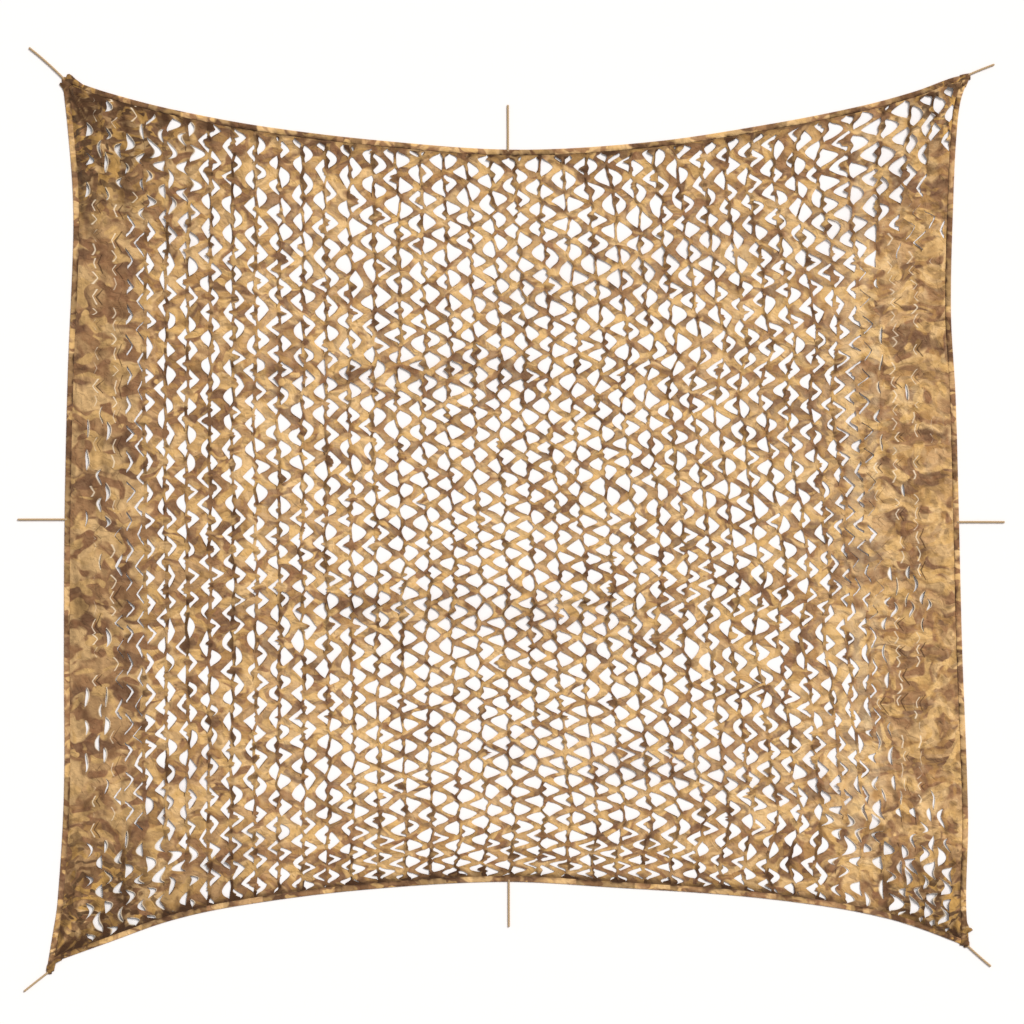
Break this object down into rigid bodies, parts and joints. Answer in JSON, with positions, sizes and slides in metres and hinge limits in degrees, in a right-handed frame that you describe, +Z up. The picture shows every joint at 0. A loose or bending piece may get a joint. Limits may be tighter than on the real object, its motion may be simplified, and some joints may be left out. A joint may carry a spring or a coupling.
{
  "type": "camouflage netting",
  "caption": "Square camouflage net laid flat: printed cloth slit and pulled open into a lattice, folded tape on its drawn-in edges, short tie cords.",
  "frame": {"origin": "middle of the laid-out netting, on the surface that it lies on", "axes": "+Z up out of the surface, +X along the top and bottom edges to the right, +Y towards the top edge"},
  "size_m": [3.2906, 3.1514, 0.0107],
  "materials": {
    "sheet": "matt woven polyester, printed in sand, tan and brown blotches",
    "tape": "matt woven polyester, the same print, folded and stitched",
    "cord": "matt twisted cotton cord, sand-coloured"
  },
  "bodies": {
    "root": {"net_panel": "sheet", "binding_top": "tape", "binding_right": "tape", "binding_bottom": "tape", "binding_left": "tape", "cord_top_left": "cord", "cord_top": "cord", "cord_top_right": "cord", "cord_right": "cord", "cord_bottom_right": "cord", "cord_bottom": "cord", "cord_bottom_left": "cord", "cord_left": "cord"}
  },
  "joints": []
}
